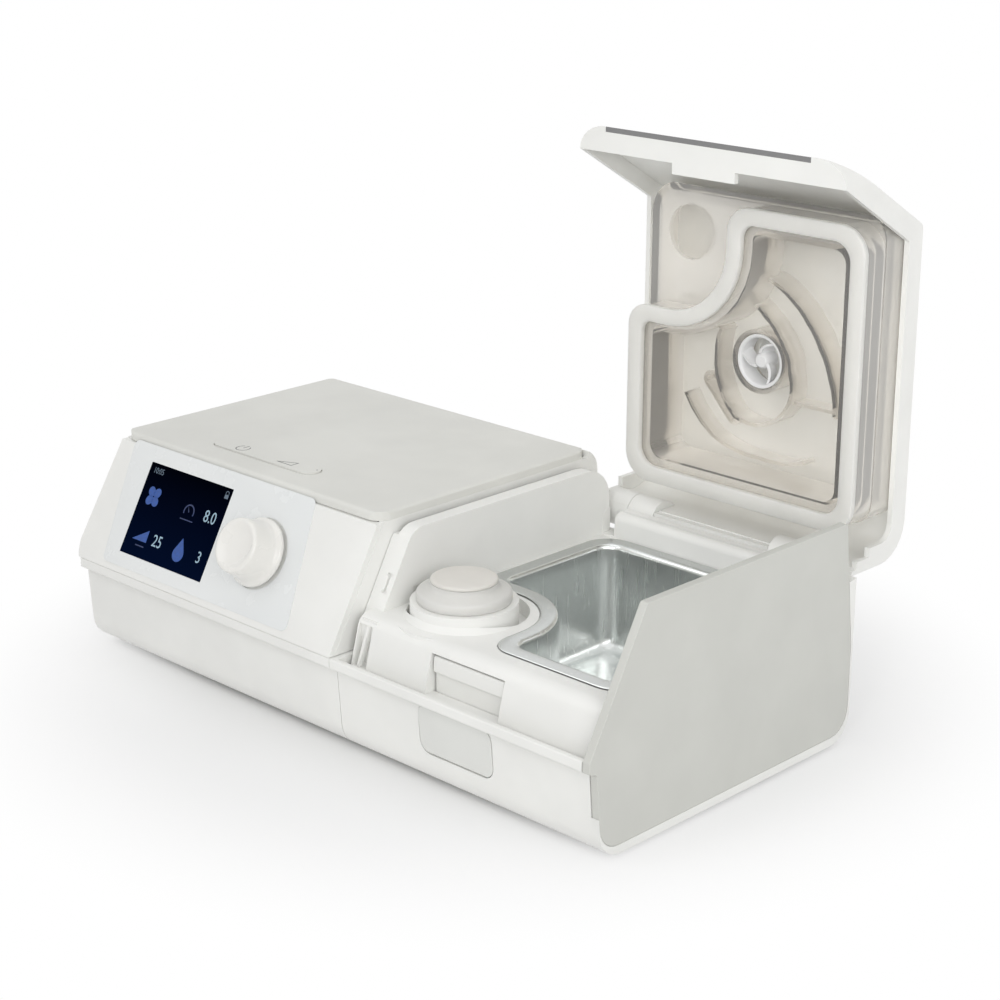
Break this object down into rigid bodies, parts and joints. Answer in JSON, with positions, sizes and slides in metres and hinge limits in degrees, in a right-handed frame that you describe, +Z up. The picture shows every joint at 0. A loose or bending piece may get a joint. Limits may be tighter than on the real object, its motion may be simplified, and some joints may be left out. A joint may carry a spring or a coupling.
{
  "type": "cpap machine",
  "caption": "Bedside breathing-air machine: blower half with sloping display panel, press-and-turn knob and rocker key, beside a heated humidifier half with a hinged lid shown open",
  "frame": {"origin": "centre of the bounding box of the machine with its lid open, on the table plane under the feet", "axes": "+X along the width from the blower half to the humidifier half, +Y from the control panel to the back, +Z up"},
  "size_m": [0.2934, 0.2094, 0.2261],
  "materials": {
    "case_white": "satin",
    "cover_grey": "fine texture",
    "side_grey": "satin",
    "panel_film": "printed film",
    "display_glass": "glossy",
    "dark_plastic": "moulded",
    "inner_grey": "moulded",
    "board": "solder resist",
    "knob_white": "satin",
    "bronze": "turned",
    "rotor_white": "moulded",
    "motor_metal": "turned",
    "filter_felt": "felt",
    "dark_rubber": "moulded",
    "frosted_silicone": "frosted",
    "pan_steel": "brushed",
    "heater_metal": "rolled",
    "spring_steel": "polished",
    "clear_cover": "clear polycarbonate",
    "trim_grey": "satin"
  },
  "bodies": {
    "base": {"main_base": "case_white", "main_shell": "case_white", "front_panel": "case_white", "panel_film": "panel_film", "display_lens": "display_glass", "display_module": "dark_plastic", "panel_board": "board", "encoder_body": "inner_grey", "top_cover": "cover_grey", "key_board": "board", "blower_volute": "inner_grey", "blower_top": "inner_grey", "blower_motor": "motor_metal", "blower_mounts": "dark_rubber", "main_board": "board", "power_socket": "dark_plastic", "inlet_filter": "filter_felt", "filter_cover": "case_white", "air_duct": "inner_grey", "duct_seal": "dark_rubber", "humidifier_base": "case_white", "side_plate": "side_grey", "humidifier_deck": "case_white", "port_seal": "frosted_silicone", "port_flap": "frosted_silicone", "water_pan": "pan_steel", "heater_plate": "heater_metal", "heater_tray": "inner_grey", "heater_springs": "spring_steel", "hinge_pins": "spring_steel", "feet": "dark_rubber", "base_screws": "spring_steel"},
    "lid": {"lid_shell": "case_white", "lid_trim": "trim_grey", "chamber_cover": "clear_cover", "duct_insert": "clear_cover", "cover_gasket": "frosted_silicone", "swirl_baffle": "rotor_white", "outlet_port": "case_white"},
    "rotor": {"knob_rotor": "bronze"},
    "knob": {"control_knob": "knob_white"},
    "latch": {"release_button": "case_white", "latch_hook": "case_white", "latch_spring": "spring_steel"},
    "key": {"key_rocker": "cover_grey"},
    "impeller": {"blower_impeller": "rotor_white"}
  },
  "joints": [
    {"name": "lid_hinge", "type": "hinge", "parent": "base", "child": "lid", "pos_m": [0.00165, 0.05773, 0.064], "axis": [1, 0, 0], "range_deg": [0, 90]},
    {"name": "knob_turn", "type": "hinge", "parent": "base", "child": "rotor", "pos_m": [-0.03935, -0.08719, 0.06499], "axis": [0, -0.8746, 0.4849], "continuous": true},
    {"name": "knob_press", "type": "slide", "parent": "rotor", "child": "knob", "axis": [0, 0.8746, -0.4849], "range_m": [0, 0.0008], "stiffness_N_per_m": 1500},
    {"name": "release_press", "type": "slide", "parent": "base", "child": "latch", "axis": [0, 1, 0], "range_m": [0, 0.002], "stiffness_N_per_m": 1200},
    {"name": "key_rock", "type": "hinge", "parent": "base", "child": "key", "pos_m": [-0.07035, -0.05677, 0.08845], "axis": [0, 1, 0], "range_deg": [-1.2, 1.2], "stiffness_Nm_per_rad": 1.5},
    {"name": "impeller_spin", "type": "hinge", "parent": "base", "child": "impeller", "pos_m": [-0.07135, -0.03847, 0.03], "axis": [0, 0, 1], "continuous": true}
  ]
}
